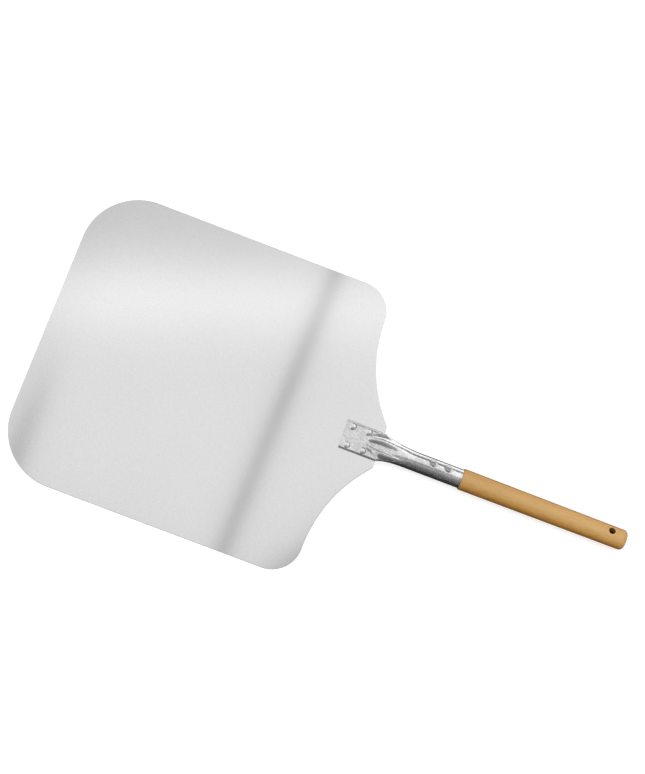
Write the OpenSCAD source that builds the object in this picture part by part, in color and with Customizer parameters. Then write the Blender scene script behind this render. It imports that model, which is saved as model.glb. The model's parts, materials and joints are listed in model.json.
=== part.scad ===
// Pizza peel: a flat aluminium blade, a steel socket riveted onto it, and a wooden handle nailed into the socket.
// Millimetres. X runs along the handle, from the blade's front edge to the handle's end, and +Z is up.
// The origin is on the blade's underside, at the middle of the blade.

/* [Blade] */
// Length of the blade, from its front edge to the end of its neck
blade_len = 406.4; // [380:0.1:460]
// Width of the blade
blade_w = 355.6; // [320:0.1:400]
// Thickness of the sheet
sheet_t = 1.6; // [1.2:0.1:2.4]
// Radius of the two front corners
front_corner_r = 69; // [40:0.5:90]
// Radius of the two rear corners
rear_corner_r = 36; // [25:0.5:45]
// Radius of the hollow curves that lead into the neck
waist_r = 173.5; // [165:0.5:230]
// Width of the neck at its end
neck_w = 52; // [48:0.5:70]
// Radius of the neck's two corners
neck_corner_r = 8; // [2:0.5:9]

/* [Socket] */
// Outside diameter of the tube
tube_d = 22.6; // [21.5:0.1:24]
// Wall of the tube
tube_wall = 1.4; // [1:0.1:1.8]
// Length of the socket behind the blade
socket_reach = 101; // [95:0.5:140]
// Length of the flattened end that lies on the blade
plate_len = 45.5; // [44:0.5:60]
// Width of the flattened end
plate_w = 34.6; // [33.5:0.1:40]
// Height of the tube's axis above the blade's underside
axis_z = -4; // [-5:0.1:-1]
// Distance in front of the neck's end at which the left lobe starts
left_lead = 16.5; // [12:0.5:17]
// Distance in front of the neck's end at which the right lobe starts
right_lead = 11; // [10:0.5:16]
// Half the width of the lobes where they start
lobe_start_w = 6.5; // [4:0.1:8]
// Length behind the neck in which the lobes reach their full height
lobe_rise = 4; // [2:0.5:12]
// Height of the lobes above the tube's top
lobe_bulge = 2.2; // [0:0.1:3]
// Length behind the neck in which the underside reaches the depth of the tube
belly_len = 30; // [24:0.5:36]
// Length behind the neck in which the socket becomes round
swell_len = 48; // [44:0.5:52]
// Height of the ridges on the two lobes
ridge_h = 1.3; // [0.5:0.1:2]
// Distance of the left ridge from the middle
left_ridge_y = 7; // [5:0.1:9]
// Distance of the right ridge from the middle
right_ridge_y = 9; // [6:0.1:9.5]
// Depth of the valley between the ridges
valley_depth = 2; // [0.5:0.1:2.4]
// Length behind the neck in which the ridges and the valley run out
ridge_fade = 36; // [30:0.5:42]

/* [Handle] */
// Length of the wood that shows behind the socket
grip_len = 203.8; // [120:0.1:300]
// Diameter of the wood at the socket
grip_d = 25.4; // [25:0.1:30]
// Diameter of the wood at its end
grip_end_d = 24; // [20:0.1:28]
// Radius of the rounding at the end
end_round = 5.5; // [1:0.1:8]
// Radius of the rounding at the shoulder
shoulder_round = 0.9; // [0.2:0.1:1]
// Gap between the tenon and the place where the tube starts to flatten
tenon_gap = 3; // [1:0.5:8]
// Diameter of the hanging hole
hang_d = 8; // [5:0.1:9]
// Distance of the hanging hole from the handle's end
hang_from_end = 20; // [14:0.5:40]

/* [Rivets] */
// Diameter of a rivet's shank
rivet_d = 4.8; // [4:0.1:5.4]
// Diameter of a rivet's domed head
rivet_head_d = 9.5; // [8:0.1:9.8]
// Height of a rivet's domed head
rivet_head_h = 1.9; // [1.5:0.1:3]
// Diameter of the flattened head underneath
rivet_tail_d = 8; // [7:0.1:9.5]
// Height of the flattened head underneath
rivet_tail_h = 1.1; // [0.6:0.1:2]
// Distance between the two rows of rivets, across the blade
rivet_rows = 23; // [21:0.1:23.6]
// Distance between the rivets in a row, along the blade
rivet_pitch = 19.4; // [14:0.1:19.8]
// Distance of the first rivets from the flattened end's front edge
rivet_edge = 8; // [6:0.1:8.5]

/* [Nails] */
// Diameter of a nail's shank
nail_d = 2.4; // [1.8:0.1:3]
// Length of a nail's shank
nail_len = 14; // [10:0.5:16]
// Diameter of a nail's countersunk head
nail_head_d = 5.6; // [4:0.1:6.5]
// Height of a nail's countersunk head
nail_head_h = 0.8; // [0.5:0.1:0.9]
// Depth of a nail's head below the top of the tube
nail_sink = 0.4; // [0.3:0.05:0.5]
// Distance of the rear nail from the tube's mouth
nail_edge = 18.4; // [14:0.1:22]
// Distance between the two nails
nail_pitch = 18.4; // [12:0.1:20]
// Turn of the nails and of the hanging hole about the handle's axis, towards +Y
drill_turn = 20; // [0:1:30]

/* [Fits] */
// Clearance on the radius between the tenon and the tube
tenon_clearance = 0.1; // [0.05:0.01:0.3]
// Clearance on the radius between a rivet and its hole
rivet_clearance = 0.1; // [0.05:0.01:0.3]
// Clearance on the radius between a nail and its hole
nail_clearance = 0.1; // [0.05:0.01:0.2]

/* [Hidden] */
$fn = 96;

// How far a cutter runs past the face it cuts, and how far joined shapes reach into each other
over = 1;

front_x = -blade_len / 2;
neck_x = blade_len / 2;
mouth_x = neck_x + socket_reach;
end_x = mouth_x + grip_len;
hang_x = end_x - hang_from_end;

// Blade: the hollow curve is square to the blade's sides where it starts, and ends at the neck's corner
side_y = blade_w / 2 - rear_corner_r;
waist_turn = asin((side_y - neck_w / 2) / waist_r);
waist_x = neck_x - waist_r * (1 - cos(waist_turn));
waist_centre = [waist_x + waist_r, side_y];

// Centre of the rounding at the neck's corner, which touches the neck's end and the hollow curve
corner_x = neck_x - neck_corner_r;
corner_reach = waist_r + neck_corner_r;
corner_y = side_y - sqrt(corner_reach ^ 2 - (waist_centre.x - corner_x) ^ 2);
corner_centre = [corner_x, corner_y];
corner_touch = waist_centre + (corner_centre - waist_centre) * waist_r / corner_reach;

// Socket
plate_t = 2 * tube_wall;
plate_mid = sheet_t + tube_wall;
plate_top = sheet_t + plate_t;
plate_x = neck_x - plate_len;
// How far in front of the neck's end the ridges start, and the stretches in which they appear and settle
ridge_lead = 17.5;
ridge_start = 3;
ridge_start_y = [5, 4.4];
ridge_side_w = 4.6;
// The two lobes blend into each other within this distance of the middle
lobe_blend = 3;
// How the left and the right lobe widen, and how far behind the neck's end they have their full width
lobe_spread = [0.6, 0.9];
lobe_reach = [0, 4];
// The crease at the foot of the right ridge, in shares of the ridge's distance from the middle
crease_at = 0.7;
crease_w = 0.24;
crease_share = 0.65;
lobe_x = neck_x - ridge_lead;
round_x = neck_x + swell_len;
tube_r = tube_d / 2;
bore_r = tube_r - tube_wall;
// The swelling ends a hair inside the tube, so that the two join cleanly
seam = 0.05;
swell_r = tube_r - seam;
swell_top = axis_z + swell_r;
swell_base = axis_z - swell_r;
// The hollow inside the swelling starts at a blunt tip
hollow_tip_x = neck_x + 0.55 * belly_len;
hollow_tip_r = 1.5;
// Points round one section, and sections along the swelling
section_steps = 48;
swell_steps = 36;

// Handle
grip_r = grip_d / 2;
grip_end_r = grip_end_d / 2;
tenon_r = bore_r - tenon_clearance;
tenon_x = round_x + tenon_gap;

// Places of the rivets and the nails
rivet_front_x = plate_x + rivet_edge;
rivet_rear_x = rivet_front_x + rivet_pitch;
nail_rear_x = mouth_x - nail_edge;
nail_front_x = nail_rear_x - nail_pitch;

function mix(a, b, t) = a + (b - a) * t;
// Smooth step from 0 to 1
function ease(t) = let (c = min(1, max(0, t))) c * c * (3 - 2 * c);
// Half the height of a flat bar with round edges, at y from its middle
function bar(y, half_w, half_h) =
    sqrt(max(0, half_h ^ 2 - max(0, abs(y) - half_w + half_h) ^ 2));
// Height of a bow over its own half width, at y from its middle: p is 0.5 for an ellipse, 1 for a parabola
function bow(y, half_w, p) = max(0, 1 - (y / half_w) ^ 2) ^ p;

// ---- Blade ----

module neck_corner_waste() {
    difference() {
        polygon([
            corner_centre,
            [neck_x + over, corner_y],
            [neck_x + over, corner_touch.y],
            corner_touch
        ]);
        translate(corner_centre) circle(neck_corner_r);
    }
}

module blade_half_outline() {
    front_side_y = blade_w / 2 - front_corner_r;
    difference() {
        union() {
            translate([front_x, 0]) square([waist_x - rear_corner_r - front_x, front_side_y]);
            translate([front_x + front_corner_r, front_side_y]) circle(front_corner_r, $fn = 240);
            translate([front_x + front_corner_r, 0])
                square([waist_x - rear_corner_r - front_x - front_corner_r, blade_w / 2]);
            translate([waist_x - rear_corner_r, side_y]) circle(rear_corner_r, $fn = 160);
            translate([front_x + front_corner_r, 0]) square([waist_x - front_x - front_corner_r, side_y]);
            translate([waist_x - over, 0]) square([neck_x - waist_x + over, side_y - over]);
        }
        translate(waist_centre) circle(waist_r, $fn = 360);
        neck_corner_waste();
        translate([front_x - over, -blade_w]) square([blade_len + 2 * over, blade_w]);
    }
}

module blade_outline() {
    blade_half_outline();
    mirror([0, 1]) blade_half_outline();
}

module at_rivets() {
    for (x = [rivet_front_x, rivet_rear_x])
        for (side = [-1, 1])
            translate([x, side * rivet_rows / 2, 0]) children();
}

module rivet_holes() {
    at_rivets() translate([0, 0, -over]) cylinder(h = plate_top + 2 * over, r = rivet_d / 2 + rivet_clearance);
}

module blade() {
    color("gainsboro") difference() {
        linear_extrude(sheet_t) blade_outline();
        rivet_holes();
    }
}

// ---- Socket ----

// Half the width of the socket at x: it narrows quickly behind the neck, then slowly
function socket_half_w(x) =
    swell_r + (plate_w / 2 - swell_r) * (1 - min(1, max(0, (x - neck_x) / swell_len))) ^ 3;
// How far the section has turned from a flat bar into a tube at x
function roundness(x) = ease((x - neck_x) / swell_len);
// Height of the section's widest points at x
function socket_mid(x) = mix(plate_mid, axis_z, roundness(x));
// Half the height of the flat bar that is left at x
function bar_h(x) = tube_wall * (1 - roundness(x));
function belly_z(x) = mix(sheet_t, swell_base, ease((x - neck_x) / belly_len));
function clamp(t) = min(1, max(0, t));
// Half a cosine wave, from 1 at 0 to 0 at 1
function wave(t) = 0.5 + 0.5 * cos(180 * clamp(t));
// 0 on the left lobe and 1 on the right one
function side(y) = ease(0.5 - y / (2 * lobe_blend));
function pick(pair, y) = mix(pair[0], pair[1], side(y));
// How far the lobe at y has risen and how far it has widened at x
function lead(y) = pick([left_lead, right_lead], y);
function risen(x, y) = 1 - (1 - clamp((x - neck_x + lead(y)) / (lead(y) + lobe_rise))) ^ 2;
function spread(x, y) =
    clamp((x - neck_x + lead(y)) / (lead(y) + pick(lobe_reach, y))) ^ pick(lobe_spread, y);
function lobe_w(x, y) = min(socket_half_w(x), mix(lobe_start_w, plate_w / 2, spread(x, y)));
// Height of the lobes over the flat bar at x
function crown(x, y) =
    mix(plate_top, swell_top + lobe_bulge * (1 - roundness(x)), risen(x, y)) - socket_mid(x) - bar_h(x);
// The lobes' sides are parabolas where they start, and ellipses farther back
function lobe_power(x) = mix(1, 0.5, ease(1.6 * (x - neck_x) / swell_len));
function ridge_y(x, y) =
    mix(pick(ridge_start_y, y), pick([left_ridge_y, right_ridge_y], y), clamp((x - lobe_x) / ridge_lead));
// Share of the way down from the ridge into the valley, with a crease on the right
function inner(share, y) =
    mix(wave(share), 1 - ease((share - crease_at) / crease_w + 0.5), crease_share * side(y));
// Height that the ridges and the valley add at x
function fold(x, y) =
    let (
        top = ridge_y(x, y),
        down = inner(clamp(abs(y) / top), y),
        up = abs(y) < top ? 1 - down : wave((abs(y) - top) / ridge_side_w),
        low = clamp(crown(x, y) / 3),
        fade = ease((x - lobe_x) / ridge_start) * (1 - ease((x - neck_x) / ridge_fade))
    )
    fade * (ridge_h * up - valley_depth * low * down);

function upper_z(x, y) =
    socket_mid(x) + bar(y, socket_half_w(x), bar_h(x))
        + crown(x, y) * bow(y, lobe_w(x, y), lobe_power(x)) + fold(x, y);
function lower_z(x, y) =
    let (drop = socket_mid(x) - bar_h(x) - belly_z(x))
    socket_mid(x) - bar(y, socket_half_w(x), bar_h(x)) - drop * bow(y, socket_half_w(x), 0.5);

// One closed section, as points on a ring
function section(x) = [
    for (i = [0 : section_steps - 1])
        let (turn = 360 * i / section_steps, y = socket_half_w(x) * cos(turn))
        [x, y, turn <= 180 ? upper_z(x, y) : lower_z(x, y)]
];

// The plate and the swelling behind it, as a skin over sections
module plate_and_swell() {
    xs = [plate_x, for (i = [0 : swell_steps]) mix(lobe_x, round_x, i / swell_steps)];
    last = len(xs) - 1;
    n = section_steps;
    points = [for (x = xs) each section(x)];
    skin = [
        for (i = [0 : last - 1])
            for (j = [0 : n - 1])
                let (a = i * n + j, b = i * n + (j + 1) % n)
                each [[a, a + n, b], [b, a + n, b + n]]
    ];
    front = [[for (j = [0 : n - 1]) j]];
    back = [[for (j = [n - 1 : -1 : 0]) last * n + j]];
    polyhedron(points, concat(skin, front, back), convexity = 6);
}

// Children stand on the handle's axis at x, with their Z along it
module along_tube(x) {
    translate([x, 0, axis_z]) rotate([0, 90, 0]) children();
}

// Children stand on the tube's top line, turned about its axis
module on_tube(x) {
    translate([x, 0, axis_z]) rotate([-drill_turn, 0, 0]) translate([0, 0, tube_r]) children();
}

// A nail, or with a gap its hole; open runs the hole out past the top of the tube
module nail_shape(gap, open) {
    shank_r = nail_d / 2 + gap;
    head_r = nail_head_d / 2 + gap;
    neck_z = -nail_sink - nail_head_h;
    top_z = open ? over : -nail_sink;
    rotate_extrude() polygon([
        [0, neck_z - nail_len],
        [shank_r, neck_z - nail_len],
        [shank_r, neck_z],
        [head_r, -nail_sink],
        if (open) [head_r, top_z],
        [0, top_z]
    ]);
}

module nail_holes() {
    for (x = [nail_front_x, nail_rear_x])
        on_tube(x) nail_shape(nail_clearance, open = true);
}

// The room inside the socket: the tube's bore, and the hollow that narrows into the swelling
module socket_room() {
    along_tube(0) rotate_extrude() polygon([
        [0, hollow_tip_x],
        [hollow_tip_r, hollow_tip_x],
        [bore_r, round_x],
        [bore_r, mouth_x + over],
        [0, mouth_x + over]
    ]);
}

module socket() {
    color("silver") difference() {
        union() {
            plate_and_swell();
            along_tube(round_x - over / 2) cylinder(h = mouth_x - round_x + over / 2, r = tube_r);
        }
        socket_room();
        rivet_holes();
        nail_holes();
    }
}

// ---- Handle ----

module grip_profile() {
    difference() {
        polygon([[0, 0], [grip_r, 0], [grip_end_r, grip_len], [0, grip_len]]);
        round_corner([grip_end_r, grip_len], end_round, [-1, -1]);
        round_corner([grip_r, 0], shoulder_round, [-1, 1]);
    }
}

// Waste outside a rounding at a corner; inward says on which side of the corner the solid lies
module round_corner(corner, radius, inward) {
    centre = corner + radius * inward;
    difference() {
        translate(centre + [inward.x > 0 ? -radius - over : 0, inward.y > 0 ? -radius - over : 0])
            square(radius + over);
        translate(centre) circle(radius);
    }
}

module handle() {
    color("burlywood") difference() {
        union() {
            along_tube(mouth_x) rotate_extrude() grip_profile();
            along_tube(tenon_x) cylinder(h = mouth_x - tenon_x + over, r = tenon_r);
        }
        translate([hang_x, 0, axis_z]) rotate([-drill_turn, 0, 0])
            cylinder(h = 2 * grip_d, r = hang_d / 2, center = true);
        nail_holes();
    }
}

// ---- Rivets and nails ----

// Part of a ball that stands on a flat base
module dome(d, h) {
    ball_r = (d ^ 2 / 4 + h ^ 2) / (2 * h);
    intersection() {
        translate([0, 0, h - ball_r]) sphere(ball_r);
        cylinder(h = h + over, r = d / 2 + over);
    }
}

module rivet(x, side) {
    color("lightgray") translate([x, side * rivet_rows / 2, 0]) {
        translate([0, 0, plate_top]) dome(rivet_head_d, rivet_head_h);
        translate([0, 0, -rivet_tail_h / 2]) cylinder(h = plate_top + rivet_tail_h, r = rivet_d / 2);
        mirror([0, 0, 1]) dome(rivet_tail_d, rivet_tail_h);
    }
}

module nail(x) {
    color("gray") on_tube(x) nail_shape(0, open = false);
}

module rivet_front_left() { rivet(rivet_front_x, 1); }
module rivet_front_right() { rivet(rivet_front_x, -1); }
module rivet_rear_left() { rivet(rivet_rear_x, 1); }
module rivet_rear_right() { rivet(rivet_rear_x, -1); }
module nail_front() { nail(nail_front_x); }
module nail_rear() { nail(nail_rear_x); }

blade();
socket();
handle();
rivet_front_left();
rivet_front_right();
rivet_rear_left();
rivet_rear_right();
nail_front();
nail_rear();
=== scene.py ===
"""Pizza peel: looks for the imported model. Metres; X along the handle, +Y across the blade, +Z up."""
import json
import math

import bmesh
import bpy
from mathutils import Matrix, Vector


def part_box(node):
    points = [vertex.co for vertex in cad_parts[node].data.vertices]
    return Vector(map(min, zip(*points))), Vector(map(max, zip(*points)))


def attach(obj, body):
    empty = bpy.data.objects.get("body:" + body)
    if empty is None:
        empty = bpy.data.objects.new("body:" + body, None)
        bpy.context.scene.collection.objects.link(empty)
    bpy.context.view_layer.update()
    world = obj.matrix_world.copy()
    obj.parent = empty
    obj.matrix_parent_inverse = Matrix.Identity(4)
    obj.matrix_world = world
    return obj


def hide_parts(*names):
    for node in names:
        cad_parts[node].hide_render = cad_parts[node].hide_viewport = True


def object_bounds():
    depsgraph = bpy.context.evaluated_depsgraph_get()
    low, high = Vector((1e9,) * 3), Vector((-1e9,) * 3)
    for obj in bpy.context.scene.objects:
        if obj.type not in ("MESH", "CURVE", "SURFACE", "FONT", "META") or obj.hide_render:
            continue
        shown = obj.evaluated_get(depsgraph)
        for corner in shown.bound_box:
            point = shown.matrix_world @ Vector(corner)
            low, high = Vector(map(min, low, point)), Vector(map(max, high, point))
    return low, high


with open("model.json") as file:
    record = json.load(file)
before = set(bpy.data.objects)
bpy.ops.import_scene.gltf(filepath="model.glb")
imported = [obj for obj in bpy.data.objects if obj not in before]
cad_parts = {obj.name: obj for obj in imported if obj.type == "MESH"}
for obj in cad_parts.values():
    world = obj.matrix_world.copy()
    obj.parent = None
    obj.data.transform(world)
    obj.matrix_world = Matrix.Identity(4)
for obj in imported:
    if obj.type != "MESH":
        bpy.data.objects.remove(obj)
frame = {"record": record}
cad_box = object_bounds()
hanging_hole = next(m for m in frame["record"]["mounts"] if m["name"] == "hanging_hole")

MM = 0.001

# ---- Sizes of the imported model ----

blade_low, blade_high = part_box("blade")
socket_low, socket_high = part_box("socket")
handle_low, handle_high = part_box("handle")

FRONT_X = blade_low.x
NECK_X = blade_high.x
BLADE_HALF_W = blade_high.y
SHEET_T = blade_high.z
PLATE_X = socket_low.x
PLATE_HALF_W = socket_high.y
MOUTH_X = socket_high.x
END_X = handle_high.x
GRIP_R = handle_high.y
AXIS_Z = (handle_low.z + handle_high.z) / 2
FLOOR_Z = cad_box[0][2]
HOLE_R = hanging_hole["dims"]["r_mm"] * MM

# ---- Sizes that the boxes don't give ----

# The blade's outline and its rounded edge
FRONT_CORNER_R = 69 * MM
REAR_CORNER_R = 36 * MM
WAIST_R = 173.5 * MM
NECK_HALF_W = 26 * MM
NECK_CORNER_R = 8 * MM
BLADE_EDGE_R = 0.55 * MM

# The socket's tube, the rounding of the plate's edges, and the lengths behind the neck over which the plate
# becomes a tube: its outline, the arch of its top and its belly
TUBE_R = 11.3 * MM
TUBE_WALL = 1.4 * MM
BAR_EDGE = 1.3 * MM
SWELL_LEN = 48 * MM
ARCH_LEN = 30 * MM
BELLY_LEN = 30 * MM

# The two lobes in which the tube rises from the plate. A pair holds the left lobe's value, at +Y, and the right
# one's: where a lobe starts in front of the neck, where it is full-width behind it, and how soon it widens.
LOBE_LEAD = (16.5 * MM, 11 * MM)
LOBE_REACH = (0 * MM, 4 * MM)
LOBE_SPREAD = (0.6, 0.9)
LOBE_BLEND = 3 * MM
LOBE_START_W = 6.5 * MM
LOBE_RISE = 4 * MM
LOBE_BULGE = 2.2 * MM

# The ridges along the lobes, with their distance from the middle at their start and at the neck
RIDGE_LEAD = 17.5 * MM
RIDGE_START = 3 * MM
RIDGE_FADE = 36 * MM
RIDGE_H = 1.3 * MM
RIDGE_START_Y = (5 * MM, 4.4 * MM)
RIDGE_Y = (7 * MM, 9 * MM)
RIDGE_SIDE_W = 4.6 * MM

# The valley between the ridges, full where the lobes are this high, and the crease at its right side, whose
# place and width are shares of the ridge's distance from the middle
VALLEY_DEPTH = 2 * MM
VALLEY_CROWN = 3 * MM
CREASE_AT = 0.7
CREASE_W = 0.24
CREASE_SHARE = 0.65

# The raised line along each edge of the plate, which fades out from BEAD_FADE_X on
BEAD_H = 0.45 * MM
BEAD_W = 1 * MM
BEAD_EDGE = 2 * MM
BEAD_FADE_X = NECK_X - 10.5 * MM
BEAD_FADE = 17.5 * MM

# The handle: the roundings of its grip, and the tenon inside the socket
GRIP_END_R = 12 * MM
END_ROUND = 5.5 * MM
SHOULDER_ROUND = 0.9 * MM
TENON_GAP = 3 * MM
TENON_CLEARANCE = 0.1 * MM

# The turn of the nails and of the hanging hole about the handle's axis
DRILL_TURN = math.radians(20)

RIVET_R = 2.4 * MM
RIVET_HEAD_R = 4.75 * MM
RIVET_HEAD_H = 1.9 * MM
RIVET_TAIL_R = 4 * MM
RIVET_TAIL_H = 1.1 * MM

NAIL_R = 1.2 * MM
NAIL_LEN = 14 * MM
NAIL_POINT = 2 * MM
NAIL_HEAD_R = 2.8 * MM
NAIL_HEAD_H = 0.6 * MM
NAIL_CROWN = 0.15 * MM
NAIL_SINK = 0.9 * MM
NAIL_EDGE = 18.4 * MM
NAIL_PITCH = 18.4 * MM

# ---- Sizes worked out ----

PLATE_TOP = SHEET_T + 2 * TUBE_WALL
PLATE_MID = SHEET_T + TUBE_WALL
BORE_R = TUBE_R - TUBE_WALL
ROUND_X = NECK_X + SWELL_LEN
NAIL_XS = {"nail_rear": MOUTH_X - NAIL_EDGE, "nail_front": MOUTH_X - NAIL_EDGE - NAIL_PITCH}

# ---- Camera ----

# The photograph's frame, in pixels
IMAGE_W, IMAGE_H = 645, 774

# The camera, fitted to the blade's outline and the handle in the photograph
CAMERA_AZIMUTH = math.radians(8.383)
CAMERA_TILT = math.radians(12.843)
CAMERA_ROLL = math.radians(-28.980)
CAMERA_DISTANCE = 2.156
PIXELS_PER_METRE = 872.57
BLADE_CENTRE_PX = (214.30, 384.54)


def make_camera():
    """Looks down on the peel; the optical axis is the picture's middle, beside the blade's centre."""
    turned = Matrix.Rotation(CAMERA_ROLL, 3, "Z")
    tilted = Matrix.Rotation(-CAMERA_TILT, 3, "X")
    swung = Matrix.Rotation(CAMERA_AZIMUTH, 3, "Z")
    world_to_view = turned @ tilted @ swung
    aside = Vector((
        (BLADE_CENTRE_PX[0] - IMAGE_W / 2) / PIXELS_PER_METRE,
        (IMAGE_H / 2 - BLADE_CENTRE_PX[1]) / PIXELS_PER_METRE,
        -CAMERA_DISTANCE,
    ))
    view_to_world = world_to_view.transposed()
    data = bpy.data.cameras.new("camera")
    data.sensor_width = 36
    data.lens = PIXELS_PER_METRE * CAMERA_DISTANCE * data.sensor_width / IMAGE_H
    data.clip_end = 50
    camera = bpy.data.objects.new("camera", data)
    camera.matrix_world = view_to_world.to_4x4()
    camera.location = Vector((0, 0, SHEET_T / 2)) - view_to_world @ aside
    bpy.context.scene.collection.objects.link(camera)
    bpy.context.scene.camera = camera


# ---- Helpers for the meshes ----

def mix(a, b, t):
    return a + (b - a) * t


def clamp(t):
    return min(1, max(0, t))


def ease(t):
    """Smooth step from 0 to 1."""
    t = clamp(t)
    return t * t * (3 - 2 * t)


def wave(t):
    """Half a cosine wave, from 1 at 0 to 0 at 1."""
    return 0.5 + 0.5 * math.cos(math.pi * t)


def add_object(name, bm, material=None):
    """A new object at the origin from a bmesh, shaded smooth."""
    mesh = bpy.data.meshes.new(name)
    for face in bm.faces:
        face.smooth = True
    bm.to_mesh(mesh)
    bm.free()
    if material:
        mesh.materials.append(material)
    piece = bpy.data.objects.new(name, mesh)
    bpy.context.scene.collection.objects.link(piece)
    return piece


def stand_for(piece, node):
    """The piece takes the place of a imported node."""
    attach(piece, "root")
    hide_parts(node)
    return piece


def verts_in(geom):
    return [g for g in geom if isinstance(g, bmesh.types.BMVert)]


def line_to(bm, vert, x, y):
    """Draws a straight edge from vert to (x, y, 0) and returns its end."""
    new = bmesh.ops.extrude_vert_indiv(bm, verts=[vert])["verts"][0]
    new.co = (x, y, 0)
    return new


def arc_about(bm, vert, centre, turn, steps):
    """Draws an arc from vert about a centre, anticlockwise where turn is positive, and returns its end."""
    spun = bmesh.ops.spin(
        bm, geom=[vert], cent=(centre[0], centre[1], 0), axis=(0, 0, 1), angle=turn, steps=steps)
    return verts_in(spun["geom_last"])[0]


def spin_profile(bm, steps):
    """Turns the profile drawn in the XY plane, with Y as its radius, about the X axis into a closed solid."""
    bmesh.ops.spin(
        bm, geom=bm.verts[:] + bm.edges[:], cent=(0, 0, 0), axis=(1, 0, 0),
        angle=2 * math.pi, steps=steps, use_merge=True)
    bmesh.ops.remove_doubles(bm, verts=bm.verts, dist=0.001 * MM)
    bmesh.ops.recalc_face_normals(bm, faces=bm.faces)


def turn_about(bm, axis, angle):
    bmesh.ops.rotate(bm, verts=bm.verts, matrix=Matrix.Rotation(angle, 3, axis))


def shade_flat_where(piece, is_flat):
    for face in piece.data.polygons:
        if is_flat(face):
            face.use_smooth = False


def cut_with(piece, cutter):
    """Cuts the cutter's shape out of the piece, and deletes the cutter."""
    modifier = piece.modifiers.new("cut", "BOOLEAN")
    modifier.operation = "DIFFERENCE"
    modifier.solver = "EXACT"
    modifier.object = cutter
    bpy.context.view_layer.update()
    cut = piece.evaluated_get(bpy.context.evaluated_depsgraph_get())
    mesh = bpy.data.meshes.new_from_object(cut)
    piece.modifiers.clear()
    piece.data = mesh
    bpy.data.objects.remove(cutter)


# ---- Blade ----

def draw_half_blade(bm):
    """The blade's outline on the +Y side, from the middle of its front edge to the middle of the neck."""
    front_y = BLADE_HALF_W - FRONT_CORNER_R
    side_y = BLADE_HALF_W - REAR_CORNER_R
    waist_x = NECK_X - WAIST_R * (1 - math.cos(math.asin((side_y - NECK_HALF_W) / WAIST_R)))
    waist = Vector((waist_x + WAIST_R, side_y))
    corner_x = NECK_X - NECK_CORNER_R
    reach = WAIST_R + NECK_CORNER_R
    corner = Vector((corner_x, side_y - math.sqrt(reach ** 2 - (waist.x - corner_x) ** 2)))
    hollow_turn = math.asin((side_y - corner.y) / reach)

    pen = bm.verts.new((FRONT_X, 0, 0))
    pen = line_to(bm, pen, FRONT_X, front_y)
    pen = arc_about(bm, pen, (FRONT_X + FRONT_CORNER_R, front_y), -math.pi / 2, steps=48)
    pen = line_to(bm, pen, waist_x - REAR_CORNER_R, BLADE_HALF_W)
    pen = arc_about(bm, pen, (waist_x - REAR_CORNER_R, side_y), -math.pi / 2, steps=36)
    pen = arc_about(bm, pen, waist, hollow_turn, steps=60)
    pen = arc_about(bm, pen, corner, hollow_turn - math.pi / 2, steps=14)
    line_to(bm, pen, NECK_X, 0)


def make_blade(material):
    bm = bmesh.new()
    draw_half_blade(bm)
    bmesh.ops.mirror(bm, geom=bm.verts[:] + bm.edges[:], axis="Y", merge_dist=0.01 * MM)
    bmesh.ops.remove_doubles(bm, verts=bm.verts, dist=0.01 * MM)
    bmesh.ops.contextual_create(bm, geom=bm.edges[:])
    raised = bmesh.ops.extrude_face_region(bm, geom=bm.faces[:], use_keep_orig=True)
    bmesh.ops.translate(bm, verts=verts_in(raised["geom"]), vec=(0, 0, SHEET_T))
    bmesh.ops.recalc_face_normals(bm, faces=bm.faces)
    rims = [e for e in bm.edges if abs(e.verts[0].co.z - e.verts[1].co.z) < 0.1 * MM]
    bmesh.ops.bevel(bm, geom=rims, offset=BLADE_EDGE_R, segments=4, profile=0.5, affect="EDGES", material=-1)
    piece = add_object("blade_sheet", bm, material)
    shade_flat_where(piece, lambda face: abs(face.normal.z) > 0.9999)
    return stand_for(piece, "blade")


# ---- Socket ----

RING_STEPS = 144
# Rings on the flat plate, from its front edge
PLATE_RINGS = (0 * MM, 0.4 * MM, 8 * MM, 19 * MM, 27 * MM)
LOBE_RINGS = 110
# Rings round the nails and this far beyond them, and the last one before the mouth
NAIL_RINGS = 64
NAIL_MARGIN = 7 * MM
LAST_RING = 4 * MM
DIMPLE_DEPTH = 1.1 * MM
DIMPLE_R = 3 * MM
DIMPLE_BLEND = 2.4 * MM
# The blunt cone that ends the bore, and the rounding and least angle of the mouth's edges
CONE_TIP_X = NECK_X + 0.55 * BELLY_LEN
CONE_TIP_R = 1.5 * MM
MOUTH_EDGE_R = 0.25 * MM
MOUTH_EDGE_ANGLE = 1.2


def bar(y, half_w, half_h):
    """Half the height of a flat bar with its edges rounded off."""
    if half_h <= 0:
        return 0
    edge = BAR_EDGE * half_h / TUBE_WALL
    return half_h * math.sqrt(max(0, 1 - (max(0, abs(y) - half_w + edge) / edge) ** 2))


def arch(y, half_w, power):
    """From 1 in the middle to 0 at the feet: a parabola for a power of 1, half an ellipse for 0.5."""
    return max(0, 1 - (y / half_w) ** 2) ** power


def roundness(x):
    """0 where the socket is a flat plate, 1 where it is a round tube."""
    return ease((x - NECK_X) / SWELL_LEN)


def socket_half_w(x):
    flat = 1 - clamp((x - NECK_X) / SWELL_LEN)
    return TUBE_R + (PLATE_HALF_W - TUBE_R) * flat ** 3


def lobe_growth(x, side):
    """How far a lobe has risen and how far it has widened, each from 0 to 1."""
    lead = mix(*LOBE_LEAD, side)
    start = NECK_X - lead
    risen = 1 - (1 - clamp((x - start) / (lead + LOBE_RISE))) ** 2
    spread = clamp((x - start) / (lead + mix(*LOBE_REACH, side))) ** mix(*LOBE_SPREAD, side)
    return risen, spread


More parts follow.
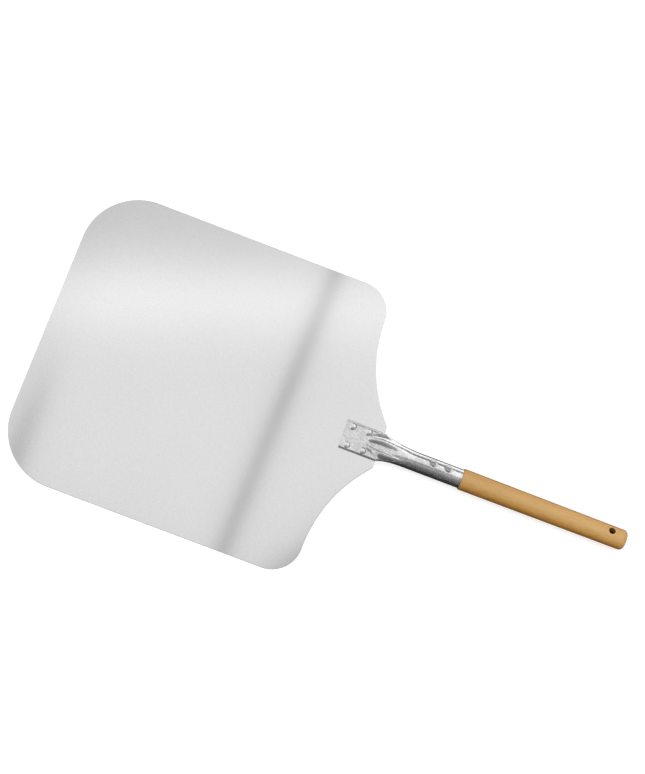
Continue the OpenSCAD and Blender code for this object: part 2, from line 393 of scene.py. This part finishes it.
def folds(x, y, side, crown):
    """The ridges on the lobes and the valley and crease between them, as a height over the lobes."""
    past = x - NECK_X + RIDGE_LEAD
    ridge_y = mix(mix(*RIDGE_START_Y, side), mix(*RIDGE_Y, side), clamp(past / RIDGE_LEAD))
    share = min(1, abs(y) / ridge_y)
    step = 1 - ease((share - CREASE_AT) / CREASE_W + 0.5)
    inner = mix(wave(share), step, CREASE_SHARE * side)
    ridge = 1 - inner if share < 1 else wave(min(1, (abs(y) - ridge_y) / RIDGE_SIDE_W))
    deep = clamp(crown / VALLEY_CROWN)
    fade = ease(past / RIDGE_START) * (1 - ease((x - NECK_X) / RIDGE_FADE))
    return fade * (RIDGE_H * ridge - VALLEY_DEPTH * deep * inner)


def edge_line(x, y, half_w):
    """The raised line along the plate's edge."""
    bead = math.exp(-((abs(y) - half_w + BEAD_EDGE) / BEAD_W) ** 2)
    return BEAD_H * bead * (1 - ease((x - BEAD_FADE_X) / BEAD_FADE))


def skin_point(x, turn):
    """A point on the socket's outside, turn running round the section from +Y over the top."""
    around = roundness(x)
    half_w = socket_half_w(x)
    y = half_w * math.cos(turn)
    middle = mix(PLATE_MID, AXIS_Z, around)
    bar_h = TUBE_WALL * (1 - around)
    if math.sin(turn) < 0:
        belly = mix(SHEET_T, AXIS_Z - TUBE_R, ease((x - NECK_X) / BELLY_LEN))
        drop = middle - bar_h - belly
        return Vector((x, y, middle - bar(y, half_w, bar_h) - drop * arch(y, half_w, 0.5)))
    side = ease(0.5 - y / (2 * LOBE_BLEND))
    risen, spread = lobe_growth(x, side)
    crown = mix(PLATE_TOP, AXIS_Z + TUBE_R + LOBE_BULGE * (1 - around), risen) - middle - bar_h
    fan_w = min(half_w, mix(LOBE_START_W, PLATE_HALF_W, spread))
    rise = crown * arch(y, fan_w, mix(1, 0.5, ease((x - NECK_X) / ARCH_LEN)))
    rise += folds(x, y, side, crown)
    rise += edge_line(x, y, half_w)
    return Vector((x, y, middle + bar(y, half_w, bar_h) + rise))


def press_dimples(point):
    """Moves a point of the tube inwards near the two nails."""
    axis = Vector((point.x, 0, AXIS_Z))
    out = point - axis
    up = Vector((0, math.sin(DRILL_TURN), math.cos(DRILL_TURN)))
    depth = 0
    for nail_x in NAIL_XS.values():
        away = (point - Vector((nail_x, 0, AXIS_Z)) - up * TUBE_R).length
        depth += DIMPLE_DEPTH * (1 - ease((away - DIMPLE_R) / DIMPLE_BLEND))
    return point - out.normalized() * depth


def socket_stations():
    """Places along X of the rings that shape the socket, close together on the lobes and round the nails."""
    xs = [PLATE_X + place for place in PLATE_RINGS]
    lobe_x = NECK_X - RIDGE_LEAD - MM
    xs += [mix(lobe_x, ROUND_X, i / LOBE_RINGS) for i in range(LOBE_RINGS + 1)]
    nails_from = min(NAIL_XS.values()) - NAIL_MARGIN
    nails_to = max(NAIL_XS.values()) + NAIL_MARGIN
    xs += [mix(nails_from, nails_to, i / NAIL_RINGS) for i in range(NAIL_RINGS + 1)]
    xs += [MOUTH_X - LAST_RING, MOUTH_X]
    return sorted(xs)


def shape_skin(bm):
    """A tube with one ring for each station, shaped into the socket's outside."""
    stations = socket_stations()
    last = len(stations) - 1
    bmesh.ops.create_cone(bm, cap_ends=False, segments=RING_STEPS, radius1=1, radius2=1, depth=last)
    uprights = [e for e in bm.edges if abs(e.verts[0].co.z - e.verts[1].co.z) > 0.5]
    bmesh.ops.subdivide_edges(bm, edges=uprights, cuts=last - 1, use_grid_fill=True)
    for vert in bm.verts:
        ring = round(vert.co.z + last / 2)
        turn = math.atan2(vert.co.y, vert.co.x)
        vert.co = press_dimples(skin_point(stations[ring], turn))


def line_bore(bm, mouth_edges):
    """The wall at the mouth, the bore, and the blunt cone that ends it."""
    for x, radius in ((MOUTH_X, BORE_R), (ROUND_X, BORE_R), (CONE_TIP_X, CONE_TIP_R)):
        grown = bmesh.ops.extrude_edge_only(bm, edges=mouth_edges)["geom"]
        verts = verts_in(grown)
        for vert in verts:
            out = Vector((0, vert.co.y, vert.co.z - AXIS_Z)).normalized() * radius
            vert.co = (x, out.y, AXIS_Z + out.z)
        mouth_edges = [
            g for g in grown if isinstance(g, bmesh.types.BMEdge) and all(v in verts for v in g.verts)]
    bmesh.ops.contextual_create(bm, geom=mouth_edges)


def make_socket(material):
    bm = bmesh.new()
    shape_skin(bm)
    ring_edges = [e for e in bm.edges if e.is_boundary]
    mouth_edges = [e for e in ring_edges if e.verts[0].co.x > NECK_X]
    front_edges = [e for e in ring_edges if e.verts[0].co.x < NECK_X]
    line_bore(bm, mouth_edges)
    bmesh.ops.contextual_create(bm, geom=front_edges)
    bmesh.ops.recalc_face_normals(bm, faces=bm.faces)
    rims = [e for e in bm.edges if len(e.link_faces) == 2 and e.calc_face_angle() > MOUTH_EDGE_ANGLE
            and e.verts[0].co.x > MOUTH_X - MM]
    bmesh.ops.bevel(bm, geom=rims, offset=MOUTH_EDGE_R, segments=3, profile=0.5, affect="EDGES", material=-1)
    piece = add_object("socket_skin", bm, material)
    shade_flat_where(piece, lambda face: abs(face.normal.x) > 0.999)
    return stand_for(piece, "socket")


# ---- Handle ----

# Rings along the tapering grip, so that its faces stay short
GRIP_RINGS = 40


def draw_handle(bm):
    """Half the handle's profile, from the tenon's end to the grip's end."""
    tenon_r = BORE_R - TENON_CLEARANCE
    tenon_x = ROUND_X + TENON_GAP
    shoulder_y = GRIP_R - SHOULDER_ROUND
    end_x = END_X - END_ROUND
    pen = bm.verts.new((tenon_x, 0, 0))
    pen = line_to(bm, pen, tenon_x, tenon_r)
    pen = line_to(bm, pen, MOUTH_X, tenon_r)
    pen = line_to(bm, pen, MOUTH_X, shoulder_y)
    pen = arc_about(bm, pen, (MOUTH_X + SHOULDER_ROUND, shoulder_y), -math.pi / 2, steps=4)
    grip_start = pen.co.copy()
    for ring in range(1, GRIP_RINGS + 1):
        share = ring / GRIP_RINGS
        pen = line_to(bm, pen, mix(grip_start.x, end_x, share), mix(grip_start.y, GRIP_END_R, share))
    pen = arc_about(bm, pen, (end_x, GRIP_END_R - END_ROUND), -math.pi / 2, steps=12)
    line_to(bm, pen, END_X, 0)


def make_handle(material):
    bm = bmesh.new()
    draw_handle(bm)
    spin_profile(bm, steps=128)
    bmesh.ops.translate(bm, verts=bm.verts, vec=(0, 0, AXIS_Z))
    piece = add_object("wooden_handle", bm, material)

    # The hanging hole
    bm = bmesh.new()
    bmesh.ops.create_cone(bm, cap_ends=True, segments=48, radius1=HOLE_R, radius2=HOLE_R, depth=4 * GRIP_R)
    turn_about(bm, "X", -DRILL_TURN)
    bmesh.ops.translate(bm, verts=bm.verts, vec=hanging_hole["pos_m"])
    cut_with(piece, add_object("hole_cutter", bm))
    return stand_for(piece, "handle")


# ---- Rivets and nails ----

def dome_arc(bm, pen, tip_x, radius, height, steps):
    """Draws a dome's arc from its foot at radius to its tip on the axis, towards tip_x."""
    ball_r = (radius ** 2 + height ** 2) / (2 * height)
    towards = 1 if tip_x > pen.co.x else -1
    centre = (tip_x - towards * ball_r, 0)
    turn = math.asin(radius / ball_r)
    return arc_about(bm, pen, centre, -towards * turn, steps)


def make_rivet(node, material):
    """A domed head on the plate, a shank, and a low flattened head under the blade."""
    low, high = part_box(node)
    middle = (low + high) / 2
    bm = bmesh.new()
    tail = bm.verts.new((0, RIVET_TAIL_R, 0))
    dome_arc(bm, tail, -RIVET_TAIL_H, RIVET_TAIL_R, RIVET_TAIL_H, steps=8)
    pen = line_to(bm, tail, 0, RIVET_R)
    pen = line_to(bm, pen, PLATE_TOP, RIVET_R)
    pen = line_to(bm, pen, PLATE_TOP, RIVET_HEAD_R)
    dome_arc(bm, pen, PLATE_TOP + RIVET_HEAD_H, RIVET_HEAD_R, RIVET_HEAD_H, steps=16)
    spin_profile(bm, steps=48)
    turn_about(bm, "Y", -math.pi / 2)
    bmesh.ops.translate(bm, verts=bm.verts, vec=(middle.x, middle.y, 0))
    piece = add_object(node + "_domed", bm, material)
    return stand_for(piece, node)


def make_nail(node, material):
    """A nail whose head lies sunk in the tube's dimple."""
    top = TUBE_R - NAIL_SINK
    neck = top - NAIL_HEAD_H
    point = neck - NAIL_LEN
    bm = bmesh.new()
    pen = bm.verts.new((point, 0, 0))
    pen = line_to(bm, pen, point + NAIL_POINT, NAIL_R)
    pen = line_to(bm, pen, neck, NAIL_R)
    pen = line_to(bm, pen, top - NAIL_CROWN, NAIL_HEAD_R)
    dome_arc(bm, pen, top, NAIL_HEAD_R, NAIL_CROWN, steps=6)
    spin_profile(bm, steps=40)
    turn_about(bm, "Y", -math.pi / 2)
    turn_about(bm, "X", -DRILL_TURN)
    bmesh.ops.translate(bm, verts=bm.verts, vec=(NAIL_XS[node], 0, AXIS_Z))
    piece = add_object(node + "_sunk", bm, material)
    return stand_for(piece, node)


# ---- Helpers for materials and light ----

class Nodes:
    """Builds nodes in one tree. A value is a number, a colour or another node's output."""

    def __init__(self, tree):
        self.tree = tree

    def node(self, kind, **settings):
        """A new node; settings name its properties."""
        made = self.tree.nodes.new(kind)
        for key, value in settings.items():
            setattr(made, key, value)
        return made

    def wire(self, source, target):
        self.tree.links.new(source, target)

    def feed(self, value, target):
        """Gives an input its number or colour, or the link that brings it."""
        if isinstance(value, (int, float)):
            target.default_value = value
        elif isinstance(value, tuple):
            target.default_value = (*value, 1)
        else:
            self.wire(value, target)

    def math(self, operation, *values):
        made = self.node("ShaderNodeMath", operation=operation)
        for target, value in zip(made.inputs, values):
            self.feed(value, target)
        return made.outputs["Value"]

    def plus(self, a, b):
        return self.math("ADD", a, b)

    def minus(self, a, b):
        return self.math("SUBTRACT", a, b)

    def times(self, a, b):
        return self.math("MULTIPLY", a, b)

    def line(self, value, slope, start):
        """A straight line: the value times its slope, from its start."""
        return self.math("MULTIPLY_ADD", value, slope, start)

    def map_range(self, value, low, high, to_low, to_high, curve="LINEAR"):
        made = self.node("ShaderNodeMapRange", interpolation_type=curve)
        for key, number in (("From Min", low), ("From Max", high), ("To Min", to_low), ("To Max", to_high)):
            self.feed(number, made.inputs[key])
        self.wire(value, made.inputs["Value"])
        return made.outputs["Result"]

    def step(self, value, low, high, to_low=0, to_high=1):
        """A smooth step between two values."""
        return self.map_range(value, low, high, to_low, to_high, "SMOOTHSTEP")

    def bell(self, distance, width):
        """1 where the distance is 0, falling off on both sides."""
        share = self.math("DIVIDE", distance, width)
        return self.math("EXPONENT", self.times(self.times(share, share), -1))

    def ramp(self, value, stops):
        """Colours along a value; stops are (place, colour)."""
        made = self.node("ShaderNodeValToRGB")
        elements = made.color_ramp.elements
        while len(elements) > 1:
            elements.remove(elements[0])
        elements[0].position = stops[0][0]
        elements[0].color = (*stops[0][1], 1)
        for place, colour in stops[1:]:
            elements.new(place).color = (*colour, 1)
        self.wire(value, made.inputs["Fac"])
        return made.outputs["Color"]

    def axes(self, coordinates):
        """X, Y and Z of the coordinates."""
        split = self.node("ShaderNodeSeparateXYZ")
        self.wire(self.node("ShaderNodeTexCoord").outputs[coordinates], split.inputs[0])
        return split.outputs["X"], split.outputs["Y"], split.outputs["Z"]


class Shader(Nodes):
    """Builds one material's node tree on its Principled shader."""

    def __init__(self, name, colour, metallic, roughness):
        self.material = bpy.data.materials.new(name)
        self.material.use_nodes = True
        super().__init__(self.material.node_tree)
        self.out = self.tree.nodes["Principled BSDF"]
        self.put("Base Color", colour)
        self.put("Metallic", metallic)
        self.put("Roughness", roughness)

    def put(self, name, value):
        """Sets an input of the Principled shader."""
        self.feed(value, self.out.inputs[name])

    def coords(self):
        return self.node("ShaderNodeTexCoord").outputs["Object"]

    def stretched(self, scale):
        """Object coordinates, scaled per axis: a small number stretches a pattern along that axis."""
        mapping = self.node("ShaderNodeMapping")
        mapping.inputs["Scale"].default_value = scale
        self.wire(self.coords(), mapping.inputs["Vector"])
        return mapping.outputs["Vector"]

    def noise(self, scale, detail, rough, vector=None, distortion=0):
        made = self.node("ShaderNodeTexNoise")
        numbers = {"Scale": scale, "Detail": detail, "Roughness": rough, "Distortion": distortion}
        for key, number in numbers.items():
            self.feed(number, made.inputs[key])
        self.wire(vector or self.coords(), made.inputs["Vector"])
        return made.outputs["Fac"]

    def spread(self, noise, to_low, to_high):
        """Draws a noise's usual range out between two values."""
        return self.map_range(noise, 0.3, 0.7, to_low, to_high)

    def distance_from_axis(self, point, axis):
        """Distance in metres from the line through a point along an axis."""
        away = self.node("ShaderNodeVectorMath", operation="SUBTRACT")
        away.inputs[1].default_value = point
        self.wire(self.coords(), away.inputs[0])
        cross = self.node("ShaderNodeVectorMath", operation="CROSS_PRODUCT")
        cross.inputs[1].default_value = axis
        self.wire(away.outputs["Vector"], cross.inputs[0])
        length = self.node("ShaderNodeVectorMath", operation="LENGTH")
        self.wire(cross.outputs["Vector"], length.inputs[0])
        return length.outputs["Value"]

    def blend(self, factor, a, b):
        """Mixes colour b over colour a."""
        made = self.node("ShaderNodeMix", data_type="RGBA")
        for key, kind, value in (("Factor", "VALUE", factor), ("A", "RGBA", a), ("B", "RGBA", b)):
            self.feed(value, next(s for s in made.inputs if (s.name, s.type) == (key, kind)))
        return next(s for s in made.outputs if s.type == "RGBA")

    def bump(self, layers):
        """Stacks bumps; layers are (height, strength, distance in metres)."""
        normal = None
        for height, strength, distance in layers:
            made = self.node("ShaderNodeBump")
            self.feed(strength, made.inputs["Strength"])
            self.feed(distance, made.inputs["Distance"])
            self.wire(height, made.inputs["Height"])
            if normal:
                self.wire(normal, made.inputs["Normal"])
            normal = made.outputs["Normal"]
        self.put("Normal", normal)


# ---- Metals ----

def satin_aluminium():
    """Rolled sheet: fine grain along the handle, so that highlights stretch across the blade."""
    s = Shader("satin_aluminium", (0.86, 0.863, 0.866), metallic=1, roughness=0.18)
    s.put("Anisotropic", 0.6)
    across = s.node("ShaderNodeCombineXYZ")
    across.inputs["Y"].default_value = 1
    s.put("Tangent", across.outputs["Vector"])
    grain = s.noise(60, detail=6, rough=0.65, vector=s.stretched((4, 40, 40)))
    speckle = s.noise(480, detail=2, rough=0.6)
    cloud = s.noise(7, detail=3, rough=0.5)
    waviness = s.noise(5, detail=2, rough=0.5)
    tone = s.plus(s.spread(grain, -0.02, 0.02), s.spread(speckle, -0.16, 0.16))
    tone = s.plus(tone, s.spread(cloud, 0.4, 0.6))
    s.put("Base Color", s.ramp(tone, [(0, (0.80, 0.80, 0.80)), (1, (0.92, 0.92, 0.92))]))
    s.put("Roughness", s.map_range(s.plus(grain, cloud), 0.6, 1.4, 0.165, 0.195))
    s.bump([(waviness, 0.25, 0.4 * MM), (grain, 0.1, 0.02 * MM), (speckle, 0.1, 0.01 * MM)])
    return s.material


def bright_steel(name, tone, roughness):
    """Drawn tube: faint draw lines along it and a slightly uneven, hammered surface."""
    s = Shader(name, (tone, tone + 0.003, tone + 0.008), metallic=1, roughness=roughness)
    lines = s.noise(90, detail=5, rough=0.6, vector=s.stretched((3, 30, 30)))
    dents = s.noise(380, detail=2, rough=0.55)
    cloud = s.noise(25, detail=3, rough=0.6)
    mottle = s.plus(s.times(s.plus(lines, dents), 0.33), s.times(cloud, 0.34))
    low = tone - 0.13
    high = tone + 0.09
    stops = [(0.44, (low, low, low + 0.004)), (0.56, (high, high + 0.002, high + 0.008))]
    s.put("Base Color", s.ramp(mottle, stops))
    s.put("Roughness", s.spread(cloud, roughness - 0.04, roughness + 0.05))
    s.bump([(dents, 0.5, 0.32 * MM), (lines, 0.15, 0.05 * MM)])
    return s.material


# ---- Wood ----

BEECH_STREAKS = [(0.3, (0.62, 0.42, 0.17)), (0.5, (0.68, 0.49, 0.235)), (0.72, (0.74, 0.56, 0.32))]
BEECH_WARM = (0.63, 0.42, 0.16)
BEECH_PALE = (0.78, 0.62, 0.42)
BEECH_FLECK = (0.46, 0.29, 0.11)
# The next two colours are painted light: a pale painted sheen for the top of the grip and painted shade for its
# sides
BEECH_PAINTED_SHEEN = (0.86, 0.79, 0.76)
BEECH_PAINTED_SIDE_SHADE = (0.40, 0.215, 0.012)
BEECH_AT_SOCKET = (0.30, 0.16, 0.03)
RIM_COLOUR = (0.92, 0.78, 0.50)
# Painted shade for the wall inside the hanging hole
HOLE_PAINTED_SHADE = (0.05, 0.02, 0.006)
LACQUER_TINT = (0.78, 0.56, 0.26)
# The middle of the painted sheen along the top, and the width of the hole's worn rim
PAINTED_SHEEN_Y = 1.5 * MM
HOLE_RIM = 0.7 * MM


def beech_grain(s, streaks, flecks):
    """Streaks, warmer and paler patches, and short dark flecks."""
    broad = s.noise(14, detail=3, rough=0.5, vector=s.stretched((1, 3, 3)))
    blotch = s.noise(110, detail=3, rough=0.6, vector=s.stretched((0.8, 1.5, 1.5)))
    colour = s.ramp(streaks, BEECH_STREAKS)
    colour = s.blend(s.map_range(broad, 0.35, 0.65, 0, 0.3), colour, BEECH_WARM)
    colour = s.blend(s.map_range(blotch, 0.45, 0.65, 0, 0.5), colour, BEECH_PALE)
    return s.blend(s.map_range(flecks, 0.55, 0.68, 0, 0.7), colour, BEECH_FLECK)


def beech_painted_sheen_and_shade(s, colour):
    """Painted light: a pale painted sheen along the top and painted shade down the sides; also darker towards
    the socket.
    """
    grip_len = END_X - MOUTH_X
    from_top = s.distance_from_axis((0, PAINTED_SHEEN_Y, AXIS_Z + GRIP_R), (1, 0, 0))
    # Painted sheen along the top of the grip, then painted shade down its sides
    colour = s.blend(s.map_range(from_top, 0.3 * GRIP_R, 1.1 * GRIP_R, 0.62, 0), colour, BEECH_PAINTED_SHEEN)
    colour = s.blend(s.map_range(from_top, 0.7 * GRIP_R, 1.5 * GRIP_R, 0, 0.8), colour, BEECH_PAINTED_SIDE_SHADE)
    from_end = s.distance_from_axis((END_X, 0, AXIS_Z), (0, 1, 0))
    return s.blend(s.map_range(from_end, 0.3 * grip_len, grip_len, 0.05, 0.24), colour, BEECH_AT_SOCKET)


def beech_hole(s, colour):
    """A worn, pale rim round the hanging hole, and painted shade inside it."""
    from_axis = s.distance_from_axis(hanging_hole["pos_m"], hanging_hole["axis"])
    rim = s.map_range(from_axis, HOLE_R + HOLE_RIM, HOLE_R + 2 * HOLE_RIM, 0.6, 0)
    # Painted shade inside the hanging hole, where its wall lies in shade
    inside = s.map_range(from_axis, HOLE_R, HOLE_R + 0.3 * HOLE_RIM, 0.92, 0)
    return s.blend(inside, s.blend(rim, colour, RIM_COLOUR), HOLE_PAINTED_SHADE)


def lacquered_beech():
    """Beech with its grain along the handle, under a satin lacquer, with painted sheen along the top and
    painted shade down the sides and inside the hanging hole.
    """
    s = Shader("lacquered_beech", (0.62, 0.33, 0.075), metallic=0, roughness=0.46)
    streaks = s.noise(40, detail=5, rough=0.6, vector=s.stretched((1.2, 12, 12)), distortion=0.3)
    flecks = s.noise(420, detail=2, rough=0.5, vector=s.stretched((0.22, 1, 1)))
    s.put("Base Color", beech_hole(s, beech_painted_sheen_and_shade(s, beech_grain(s, streaks, flecks))))
    s.put("Roughness", s.spread(streaks, 0.40, 0.52))
    s.put("Specular IOR Level", 0.35)
    s.put("Coat Weight", 1)
    s.put("Coat Roughness", 0.42)
    s.put("Coat IOR", 1.45)
    s.put("Coat Tint", LACQUER_TINT)
    s.bump([(streaks, 0.15, 0.1 * MM), (flecks, 0.15, 0.05 * MM)])
    return s.material


# ---- Studio: the light panel ----

# Where the panel lies over the peel, in metres, and its plain brightness
PANEL_Z = 0.35
PANEL_FROM = (-0.42, -0.25)
PANEL_TO = (0.80, 0.43)
PANEL_LEVEL = 0.84
# A dark seam between its two halves
SEAM_X = 0.0842
SEAM_SLOPE = 0.03
SEAM_W = 0.0066
SEAM_DEPTH = 0.85
# A hot streak along its lamp, and the fall beyond it
STREAK_Y = 0.198
STREAK_SLOPE = 0.35
STREAK_W = 0.046
STREAK_GAIN = 0.27
FALL_TO = 0.12
FALL_DEPTH = 0.2
# A dark fold near its left end, which fades out across the panel
FOLD_X = -0.218
FOLD_W = 0.012
FOLD_DEPTH = 0.55
FOLD_FADE_Y = (-0.12, 0.06)
# Dimmer at its left end
LEFT_END_X = (-0.27, -0.17)
LEFT_END_LEVEL = 0.92
# Brighter over the handle, with a lamp across it at the socket's mouth
RIGHT_FROM_X = (0.22, 0.27)
RIGHT_GAIN = 1.14
LAMP_X = 0.349
LAMP_W = 0.014
LAMP_GAIN = 0.75
# Its front edge over the blade and over the handle, where it moves over, its softness, and the level beyond it
EDGE_Y_BLADE = -0.19
EDGE_Y_HANDLE = -0.01
EDGE_TURN_X = (0.085, 0.265)
EDGE_SOFTNESS = 0.02
EDGE_LEVEL = 0.42


def make_sheet(name, low, high, z, material):
    """A level rectangle between two corners."""
    bm = bmesh.new()
    bmesh.ops.create_grid(bm, x_segments=1, y_segments=1, size=0.5)
    bmesh.ops.scale(bm, verts=bm.verts, vec=(high[0] - low[0], high[1] - low[1], 1))
    bmesh.ops.translate(bm, verts=bm.verts, vec=((high[0] + low[0]) / 2, (high[1] + low[1]) / 2, z))
    return add_object(name, bm, material)


def panel_light():
    """The panel's glow: an even level with its seam, streak, fold, lamp and dimmer ends."""
    material = bpy.data.materials.new("panel_light")
    material.use_nodes = True
    material.node_tree.nodes.clear()
    n = Nodes(material.node_tree)
    x, y, _ = n.axes("Object")
    seam = n.times(n.bell(n.minus(x, n.line(y, SEAM_SLOPE, SEAM_X)), SEAM_W), SEAM_DEPTH)
    from_streak = n.minus(y, n.line(x, STREAK_SLOPE, STREAK_Y))
    streak = n.times(n.bell(from_streak, STREAK_W), STREAK_GAIN)
    fall = n.step(from_streak, 0, FALL_TO, 0, FALL_DEPTH)
    fold = n.times(n.bell(n.minus(x, FOLD_X), FOLD_W), n.step(y, *FOLD_FADE_Y, FOLD_DEPTH, 0))
    left = n.step(x, *LEFT_END_X, LEFT_END_LEVEL, 1)
    lamp = n.times(n.bell(n.minus(x, LAMP_X), LAMP_W), LAMP_GAIN)
    right = n.plus(n.step(x, *RIGHT_FROM_X, 1, RIGHT_GAIN), lamp)
    front_edge = n.step(x, *EDGE_TURN_X, EDGE_Y_BLADE, EDGE_Y_HANDLE)
    front = n.step(n.minus(y, front_edge), -EDGE_SOFTNESS, EDGE_SOFTNESS, EDGE_LEVEL, 1)
    level = n.minus(n.plus(n.minus(1, fall), streak), n.plus(seam, fold))
    level = n.times(n.times(level, left), n.times(front, PANEL_LEVEL))
    glow = n.node("ShaderNodeEmission")
    n.wire(n.times(level, right), glow.inputs["Strength"])
    n.wire(glow.outputs[0], n.node("ShaderNodeOutputMaterial").inputs["Surface"])
    return material


def make_panel():
    """A soft light panel over the peel, hidden from the camera."""
    panel = make_sheet("light_panel", PANEL_FROM, PANEL_TO, PANEL_Z, panel_light())
    panel.visible_camera = False
    panel.visible_shadow = False


# ---- Studio: the room ----

# Brightness of the room by the angle round the X axis from straight up, in degrees, + towards -Y
ROOM_LEVELS = [
    (-180, 0.35), (-98, 0.35), (-94, 1.4), (-84, 1.4), (-78, 0.28), (-58, 0.2), (-52, 0.9),
    (-2, 0.9), (4, 0.38), (30, 0.40), (48, 0.26), (61, 0.2), (74, 0.15), (86, 0.07), (110, 0.03), (180, 0.4),
]
# The levels are divided by this in the colour ramp, which holds no more than 1
ROOM_SCALE = 2
# The walls at the blade's end and at the handle's end: their brightness, and the direction's X from where they
# show to where nothing else does
WALLS = [(0.95, -0.25, -0.6), (0.3, 0.35, 0.7)]
FILL_ENERGY = 2.1
FILL_ANGLE = math.radians(60)
FILL_TILT = math.radians(4)


def make_room():
    """The world: bright behind the peel, dark gaps beside the panel and a grey front."""
    world = bpy.data.worlds.new("studio")
    bpy.context.scene.world = world
    world.use_nodes = True
    n = Nodes(world.node_tree)
    x, y, z = n.axes("Generated")
    angle = n.math("ARCTAN2", n.times(y, -1), z)
    share = n.map_range(angle, -math.pi, math.pi, 0, 1)
    stops = [((degrees + 180) / 360, (level / ROOM_SCALE,) * 3) for degrees, level in ROOM_LEVELS]
    level = n.times(n.ramp(share, stops), ROOM_SCALE)
    for wall, low, high in WALLS:
        shown = n.step(x, low, high)
        level = n.plus(n.times(level, n.minus(1, shown)), n.times(shown, wall))
    background = world.node_tree.nodes["Background"]
    n.feed((1, 1, 1), background.inputs["Color"])
    n.feed(level, background.inputs["Strength"])


def make_fill():
    """A wide, soft sun from above that lifts the dull surfaces and leaves the reflections alone."""
    data = bpy.data.lights.new("fill", "SUN")
    data.energy = FILL_ENERGY
    data.angle = FILL_ANGLE
    fill = bpy.data.objects.new("fill", data)
    fill.rotation_euler = (FILL_TILT, 0, 0)
    fill.visible_glossy = False
    bpy.context.scene.collection.objects.link(fill)


# ---- Studio: the floor and the cards ----

FLOOR_MIDDLE_X = 0.15
FLOOR_HALF_W = 40
FLOOR_GAP = 0.05 * MM
FLOOR_GREY = (0.56, 0.56, 0.56)
# Added where the camera or a reflection sees the floor, so that it shows as white and keeps its shadow
FLOOR_LIFT = 0.62
CARD_GREY = (0.02, 0.02, 0.02)
CARD_OVERHANG = 0.02
CARD_LIFT = 0.2 * MM


def make_floor():
    s = Shader("pale_floor", FLOOR_GREY, metallic=0, roughness=0.9)
    s.put("Specular IOR Level", 0)
    path = s.node("ShaderNodeLightPath").outputs
    seen = s.math("MAXIMUM", path["Is Camera Ray"], path["Is Transmission Ray"])
    mirrored = s.math("MAXIMUM", seen, path["Is Glossy Ray"])
    s.put("Emission Color", (1, 1, 1))
    s.put("Emission Strength", s.times(mirrored, FLOOR_LIFT))
    low = (FLOOR_MIDDLE_X - FLOOR_HALF_W, -FLOOR_HALF_W)
    high = (FLOOR_MIDDLE_X + FLOOR_HALF_W, FLOOR_HALF_W)
    floor = make_sheet("floor", low, high, FLOOR_Z - FLOOR_GAP, s.material)


def make_card(name, low_y, high_y):
    """A black card that lies beside the socket and the handle and shows in reflections alone."""
    black = Shader(name, CARD_GREY, metallic=0, roughness=0.5).material
    card = make_sheet(name, (NECK_X, low_y), (END_X + CARD_OVERHANG, high_y), FLOOR_Z + CARD_LIFT, black)
    card.visible_camera = False
    card.visible_diffuse = False
    card.visible_shadow = False


# ---- Making ----

make_camera()
make_blade(satin_aluminium())
make_socket(bright_steel("bright_steel", tone=0.78, roughness=0.18))
make_handle(lacquered_beech())
rivet_metal = bright_steel("bright_rivets", tone=0.86, roughness=0.2)
for rivet_node in ("rivet_front_left", "rivet_front_right", "rivet_rear_left", "rivet_rear_right"):
    make_rivet(rivet_node, rivet_metal)
nail_metal = bright_steel("dull_nails", tone=0.5, roughness=0.3)
for nail_node in NAIL_XS:
    make_nail(nail_node, nail_metal)

make_panel()
make_room()
make_fill()
make_floor()
make_card("card_front", low_y=-1.6, high_y=0)
make_card("card_back", low_y=0, high_y=0.045)
bpy.context.scene.view_settings.view_transform = "Standard"
